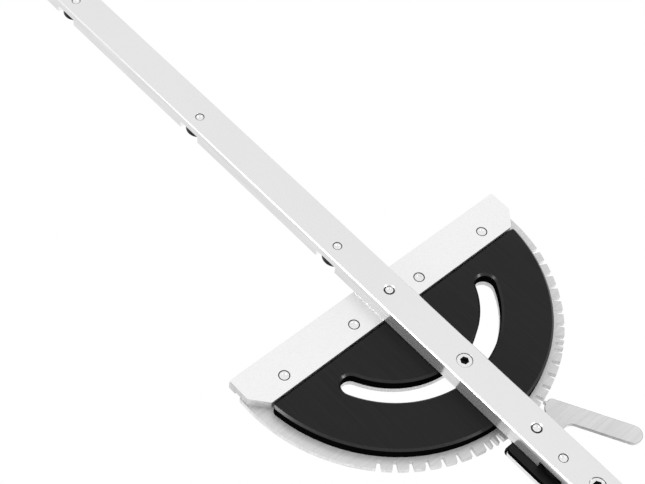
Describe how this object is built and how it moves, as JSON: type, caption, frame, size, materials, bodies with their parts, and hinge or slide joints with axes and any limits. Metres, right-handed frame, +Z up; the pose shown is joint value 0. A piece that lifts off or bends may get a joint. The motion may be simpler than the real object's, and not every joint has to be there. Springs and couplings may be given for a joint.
{
  "type": "mitre gauge",
  "caption": "Mitre gauge: guide bar with side adjusters, pivoting half-round head with a fence rail, toothed index plate, sprung index lever, lock knob and push handle.",
  "frame": {"origin": "the head's pivot axis where it meets the underside of the guide bar", "axes": "+Y forward along the guide bar, the way the fence faces; +Z up, out of the mitre slot; +X to the right of a person pushing the gauge"},
  "size_m": [0.181, 0.45, 0.1073],
  "materials": {
    "bar_aluminium": "matte natural anodised",
    "black_anodised": "black anodised with a fine brushed grain",
    "rail_aluminium": "fine bead-blasted, natural anodised",
    "index_steel": "fine brushed",
    "screw_steel": "machined, bright zinc",
    "spring_steel": "drawn wire",
    "brass": "turned",
    "black_nylon": "turned nylon",
    "knob_plastic": "moulded, fine grain",
    "handle_rubber": "matte moulded grip"
  },
  "bodies": {
    "guide_bar": {"mitre_bar": "bar_aluminium", "adjuster_disc_1": "black_nylon", "adjuster_disc_2": "black_nylon", "adjuster_disc_3": "black_nylon", "adjuster_disc_4": "black_nylon", "pivot_bush": "brass", "pivot_washer": "screw_steel", "pivot_stud": "screw_steel", "guide_bush": "screw_steel", "guide_bolt": "screw_steel", "end_block": "black_anodised", "shim_plate": "index_steel", "rear_spacer": "black_anodised", "cover_plate": "black_anodised", "cover_screws": "screw_steel", "lever_bush": "brass", "lever_screw": "screw_steel", "lever_spring": "spring_steel", "pointer": "index_steel", "pointer_screws": "screw_steel", "handle": "handle_rubber", "handle_insert": "brass", "handle_bolt": "screw_steel"},
    "head": {"head_plate": "black_anodised", "fence_rail": "rail_aluminium", "index_plate": "index_steel", "rail_screws": "screw_steel", "plate_screws": "screw_steel"},
    "lever": {"index_lever": "index_steel"},
    "knob": {"lock_knob": "knob_plastic", "knob_insert": "brass"},
    "adjuster_1": {"adjuster_screw_1": "screw_steel"},
    "adjuster_2": {"adjuster_screw_2": "screw_steel"},
    "adjuster_3": {"adjuster_screw_3": "screw_steel"},
    "adjuster_4": {"adjuster_screw_4": "screw_steel"}
  },
  "joints": [
    {"name": "head_pivot", "type": "hinge", "parent": "guide_bar", "child": "head", "pos_m": [0, 0, 0.013], "axis": [0, 0, 1], "range_deg": [-60, 60]},
    {"name": "lever_pivot", "type": "hinge", "parent": "guide_bar", "child": "lever", "pos_m": [0, -0.1, 0.0175], "axis": [0, 0, 1], "range_deg": [-3.6, 6], "stiffness_Nm_per_rad": 0.4, "springref_deg": -20.05, "deforming": ["lever_spring"]},
    {"name": "lock_knob_turn", "type": "hinge", "parent": "guide_bar", "child": "knob", "pos_m": [0, 0, 0.027], "axis": [0, 0, 1], "range_deg": [0, 270]},
    {"name": "adjuster_turn_1", "type": "hinge", "parent": "guide_bar", "child": "adjuster_1", "pos_m": [0.0021, 0.251, 0.005], "axis": [0, 0, 1], "range_deg": [-90, 90]},
    {"name": "adjuster_turn_2", "type": "hinge", "parent": "guide_bar", "child": "adjuster_2", "pos_m": [0.0021, 0.1433, 0.005], "axis": [0, 0, 1], "range_deg": [-90, 90]},
    {"name": "adjuster_turn_3", "type": "hinge", "parent": "guide_bar", "child": "adjuster_3", "pos_m": [0.0021, 0.0356, 0.005], "axis": [0, 0, 1], "range_deg": [-90, 90]},
    {"name": "adjuster_turn_4", "type": "hinge", "parent": "guide_bar", "child": "adjuster_4", "pos_m": [0.0021, -0.1188, 0.005], "axis": [0, 0, 1], "range_deg": [-90, 90]}
  ]
}
